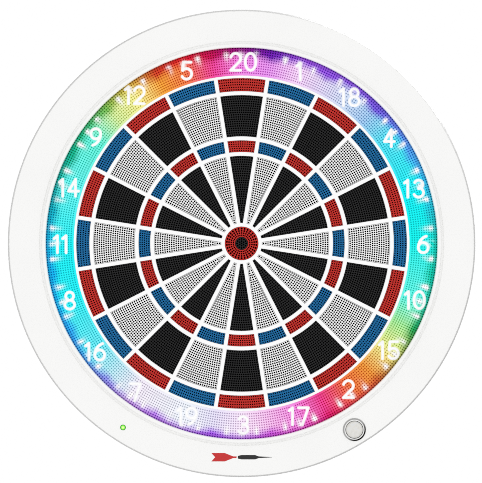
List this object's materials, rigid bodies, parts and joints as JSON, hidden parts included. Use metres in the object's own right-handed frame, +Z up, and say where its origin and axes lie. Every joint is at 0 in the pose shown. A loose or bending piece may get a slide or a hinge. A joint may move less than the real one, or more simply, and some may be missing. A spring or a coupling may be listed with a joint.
{
  "type": "electronic dartboard",
  "caption": "Round wall-hung electronic dartboard: perforated spring-back scoring keys in a raised web, lit number ring, wide white bezel, push button and status light.",
  "frame": {"origin": "centre of the flat back, where the board lies against the wall", "axes": "+Y into the wall, so the playing face looks along -Y; +Z up; +X to the right of a player who faces the board"},
  "size_m": [0.557, 0.0384, 0.557],
  "materials": {
    "white_plastic": "smooth moulded white, satin gloss",
    "web_plastic": "smooth moulded white, satin",
    "segment_white": "moulded, perforated, satin",
    "segment_black": "moulded, perforated, satin",
    "segment_red": "moulded, perforated, satin",
    "segment_blue": "moulded, perforated, satin",
    "lit_ring": "translucent, lit from behind in a full run of colours",
    "numeral": "solid raised white digits",
    "rubber": "matt",
    "foam": "open-cell foam, matt",
    "film": "clear polyester film with printed silver tracks",
    "circuit_board": "green solder mask",
    "black_plastic": "fine moulded grain",
    "chrome": "polished",
    "pearl": "pearl white, gloss",
    "steel": "pressed zinc-plated steel",
    "green_lens": "translucent, lit"
  },
  "bodies": {
    "housing": {"front_bezel": "white_plastic", "rear_housing": "black_plastic", "spider": "web_plastic", "number_ring": "lit_ring", "led_board": "circuit_board", "rubber_mat": "rubber", "sensor_membrane": "film", "backing_plate": "black_plastic", "damping_pad": "foam", "main_board": "circuit_board", "usb_socket": "steel", "button_ring": "chrome", "button_switch": "black_plastic", "status_lens": "green_lens", "hanger_plate": "steel"},
    "double_20": {"double_20": "segment_red"},
    "double_01": {"double_01": "segment_blue"},
    "double_18": {"double_18": "segment_red"},
    "double_04": {"double_04": "segment_blue"},
    "double_13": {"double_13": "segment_red"},
    "double_06": {"double_06": "segment_blue"},
    "double_10": {"double_10": "segment_red"},
    "double_15": {"double_15": "segment_blue"},
    "double_02": {"double_02": "segment_red"},
    "double_17": {"double_17": "segment_blue"},
    "double_03": {"double_03": "segment_red"},
    "double_19": {"double_19": "segment_blue"},
    "double_07": {"double_07": "segment_red"},
    "double_16": {"double_16": "segment_blue"},
    "double_08": {"double_08": "segment_red"},
    "double_11": {"double_11": "segment_blue"},
    "double_14": {"double_14": "segment_red"},
    "double_09": {"double_09": "segment_blue"},
    "double_12": {"double_12": "segment_red"},
    "double_05": {"double_05": "segment_blue"},
    "treble_20": {"treble_20": "segment_red"},
    "treble_01": {"treble_01": "segment_blue"},
    "treble_18": {"treble_18": "segment_red"},
    "treble_04": {"treble_04": "segment_blue"},
    "treble_13": {"treble_13": "segment_red"},
    "treble_06": {"treble_06": "segment_blue"},
    "treble_10": {"treble_10": "segment_red"},
    "treble_15": {"treble_15": "segment_blue"},
    "treble_02": {"treble_02": "segment_red"},
    "treble_17": {"treble_17": "segment_blue"},
    "treble_03": {"treble_03": "segment_red"},
    "treble_19": {"treble_19": "segment_blue"},
    "treble_07": {"treble_07": "segment_red"},
    "treble_16": {"treble_16": "segment_blue"},
    "treble_08": {"treble_08": "segment_red"},
    "treble_11": {"treble_11": "segment_blue"},
    "treble_14": {"treble_14": "segment_red"},
    "treble_09": {"treble_09": "segment_blue"},
    "treble_12": {"treble_12": "segment_red"},
    "treble_05": {"treble_05": "segment_blue"},
    "outer_singles": {"outer_singles": "segment_white"},
    "inner_singles": {"inner_singles": "segment_white"},
    "outer_bull": {"outer_bull": "segment_red"},
    "bull": {"bull": "segment_black"},
    "button_cap": {"button_cap": "pearl"}
  },
  "joints": [
    {"name": "double_20_press", "type": "slide", "parent": "housing", "child": "double_20", "axis": [0, 1, 0], "range_m": [0, 0.0015], "stiffness_N_per_m": 1500},
    {"name": "double_01_press", "type": "slide", "parent": "housing", "child": "double_01", "axis": [0, 1, 0], "range_m": [0, 0.0015], "stiffness_N_per_m": 1500},
    {"name": "double_18_press", "type": "slide", "parent": "housing", "child": "double_18", "axis": [0, 1, 0], "range_m": [0, 0.0015], "stiffness_N_per_m": 1500},
    {"name": "double_04_press", "type": "slide", "parent": "housing", "child": "double_04", "axis": [0, 1, 0], "range_m": [0, 0.0015], "stiffness_N_per_m": 1500},
    {"name": "double_13_press", "type": "slide", "parent": "housing", "child": "double_13", "axis": [0, 1, 0], "range_m": [0, 0.0015], "stiffness_N_per_m": 1500},
    {"name": "double_06_press", "type": "slide", "parent": "housing", "child": "double_06", "axis": [0, 1, 0], "range_m": [0, 0.0015], "stiffness_N_per_m": 1500},
    {"name": "double_10_press", "type": "slide", "parent": "housing", "child": "double_10", "axis": [0, 1, 0], "range_m": [0, 0.0015], "stiffness_N_per_m": 1500},
    {"name": "double_15_press", "type": "slide", "parent": "housing", "child": "double_15", "axis": [0, 1, 0], "range_m": [0, 0.0015], "stiffness_N_per_m": 1500},
    {"name": "double_02_press", "type": "slide", "parent": "housing", "child": "double_02", "axis": [0, 1, 0], "range_m": [0, 0.0015], "stiffness_N_per_m": 1500},
    {"name": "double_17_press", "type": "slide", "parent": "housing", "child": "double_17", "axis": [0, 1, 0], "range_m": [0, 0.0015], "stiffness_N_per_m": 1500},
    {"name": "double_03_press", "type": "slide", "parent": "housing", "child": "double_03", "axis": [0, 1, 0], "range_m": [0, 0.0015], "stiffness_N_per_m": 1500},
    {"name": "double_19_press", "type": "slide", "parent": "housing", "child": "double_19", "axis": [0, 1, 0], "range_m": [0, 0.0015], "stiffness_N_per_m": 1500},
    {"name": "double_07_press", "type": "slide", "parent": "housing", "child": "double_07", "axis": [0, 1, 0], "range_m": [0, 0.0015], "stiffness_N_per_m": 1500},
    {"name": "double_16_press", "type": "slide", "parent": "housing", "child": "double_16", "axis": [0, 1, 0], "range_m": [0, 0.0015], "stiffness_N_per_m": 1500},
    {"name": "double_08_press", "type": "slide", "parent": "housing", "child": "double_08", "axis": [0, 1, 0], "range_m": [0, 0.0015], "stiffness_N_per_m": 1500},
    {"name": "double_11_press", "type": "slide", "parent": "housing", "child": "double_11", "axis": [0, 1, 0], "range_m": [0, 0.0015], "stiffness_N_per_m": 1500},
    {"name": "double_14_press", "type": "slide", "parent": "housing", "child": "double_14", "axis": [0, 1, 0], "range_m": [0, 0.0015], "stiffness_N_per_m": 1500},
    {"name": "double_09_press", "type": "slide", "parent": "housing", "child": "double_09", "axis": [0, 1, 0], "range_m": [0, 0.0015], "stiffness_N_per_m": 1500},
    {"name": "double_12_press", "type": "slide", "parent": "housing", "child": "double_12", "axis": [0, 1, 0], "range_m": [0, 0.0015], "stiffness_N_per_m": 1500},
    {"name": "double_05_press", "type": "slide", "parent": "housing", "child": "double_05", "axis": [0, 1, 0], "range_m": [0, 0.0015], "stiffness_N_per_m": 1500},
    {"name": "treble_20_press", "type": "slide", "parent": "housing", "child": "treble_20", "axis": [0, 1, 0], "range_m": [0, 0.0015], "stiffness_N_per_m": 1500},
    {"name": "treble_01_press", "type": "slide", "parent": "housing", "child": "treble_01", "axis": [0, 1, 0], "range_m": [0, 0.0015], "stiffness_N_per_m": 1500},
    {"name": "treble_18_press", "type": "slide", "parent": "housing", "child": "treble_18", "axis": [0, 1, 0], "range_m": [0, 0.0015], "stiffness_N_per_m": 1500},
    {"name": "treble_04_press", "type": "slide", "parent": "housing", "child": "treble_04", "axis": [0, 1, 0], "range_m": [0, 0.0015], "stiffness_N_per_m": 1500},
    {"name": "treble_13_press", "type": "slide", "parent": "housing", "child": "treble_13", "axis": [0, 1, 0], "range_m": [0, 0.0015], "stiffness_N_per_m": 1500},
    {"name": "treble_06_press", "type": "slide", "parent": "housing", "child": "treble_06", "axis": [0, 1, 0], "range_m": [0, 0.0015], "stiffness_N_per_m": 1500},
    {"name": "treble_10_press", "type": "slide", "parent": "housing", "child": "treble_10", "axis": [0, 1, 0], "range_m": [0, 0.0015], "stiffness_N_per_m": 1500},
    {"name": "treble_15_press", "type": "slide", "parent": "housing", "child": "treble_15", "axis": [0, 1, 0], "range_m": [0, 0.0015], "stiffness_N_per_m": 1500},
    {"name": "treble_02_press", "type": "slide", "parent": "housing", "child": "treble_02", "axis": [0, 1, 0], "range_m": [0, 0.0015], "stiffness_N_per_m": 1500},
    {"name": "treble_17_press", "type": "slide", "parent": "housing", "child": "treble_17", "axis": [0, 1, 0], "range_m": [0, 0.0015], "stiffness_N_per_m": 1500},
    {"name": "treble_03_press", "type": "slide", "parent": "housing", "child": "treble_03", "axis": [0, 1, 0], "range_m": [0, 0.0015], "stiffness_N_per_m": 1500},
    {"name": "treble_19_press", "type": "slide", "parent": "housing", "child": "treble_19", "axis": [0, 1, 0], "range_m": [0, 0.0015], "stiffness_N_per_m": 1500},
    {"name": "treble_07_press", "type": "slide", "parent": "housing", "child": "treble_07", "axis": [0, 1, 0], "range_m": [0, 0.0015], "stiffness_N_per_m": 1500},
    {"name": "treble_16_press", "type": "slide", "parent": "housing", "child": "treble_16", "axis": [0, 1, 0], "range_m": [0, 0.0015], "stiffness_N_per_m": 1500},
    {"name": "treble_08_press", "type": "slide", "parent": "housing", "child": "treble_08", "axis": [0, 1, 0], "range_m": [0, 0.0015], "stiffness_N_per_m": 1500},
    {"name": "treble_11_press", "type": "slide", "parent": "housing", "child": "treble_11", "axis": [0, 1, 0], "range_m": [0, 0.0015], "stiffness_N_per_m": 1500},
    {"name": "treble_14_press", "type": "slide", "parent": "housing", "child": "treble_14", "axis": [0, 1, 0], "range_m": [0, 0.0015], "stiffness_N_per_m": 1500},
    {"name": "treble_09_press", "type": "slide", "parent": "housing", "child": "treble_09", "axis": [0, 1, 0], "range_m": [0, 0.0015], "stiffness_N_per_m": 1500},
    {"name": "treble_12_press", "type": "slide", "parent": "housing", "child": "treble_12", "axis": [0, 1, 0], "range_m": [0, 0.0015], "stiffness_N_per_m": 1500},
    {"name": "treble_05_press", "type": "slide", "parent": "housing", "child": "treble_05", "axis": [0, 1, 0], "range_m": [0, 0.0015], "stiffness_N_per_m": 1500},
    {"name": "outer_singles_press", "type": "slide", "parent": "housing", "child": "outer_singles", "axis": [0, 1, 0], "range_m": [0, 0.0015], "stiffness_N_per_m": 8000},
    {"name": "inner_singles_press", "type": "slide", "parent": "housing", "child": "inner_singles", "axis": [0, 1, 0], "range_m": [0, 0.0015], "stiffness_N_per_m": 8000},
    {"name": "outer_bull_press", "type": "slide", "parent": "housing", "child": "outer_bull", "axis": [0, 1, 0], "range_m": [0, 0.0015], "stiffness_N_per_m": 1500},
    {"name": "bull_press", "type": "slide", "parent": "housing", "child": "bull", "axis": [0, 1, 0], "range_m": [0, 0.0015], "stiffness_N_per_m": 1500},
    {"name": "button_press", "type": "slide", "parent": "housing", "child": "button_cap", "axis": [0, 1, 0], "range_m": [0, 0.0012], "stiffness_N_per_m": 800}
  ]
}
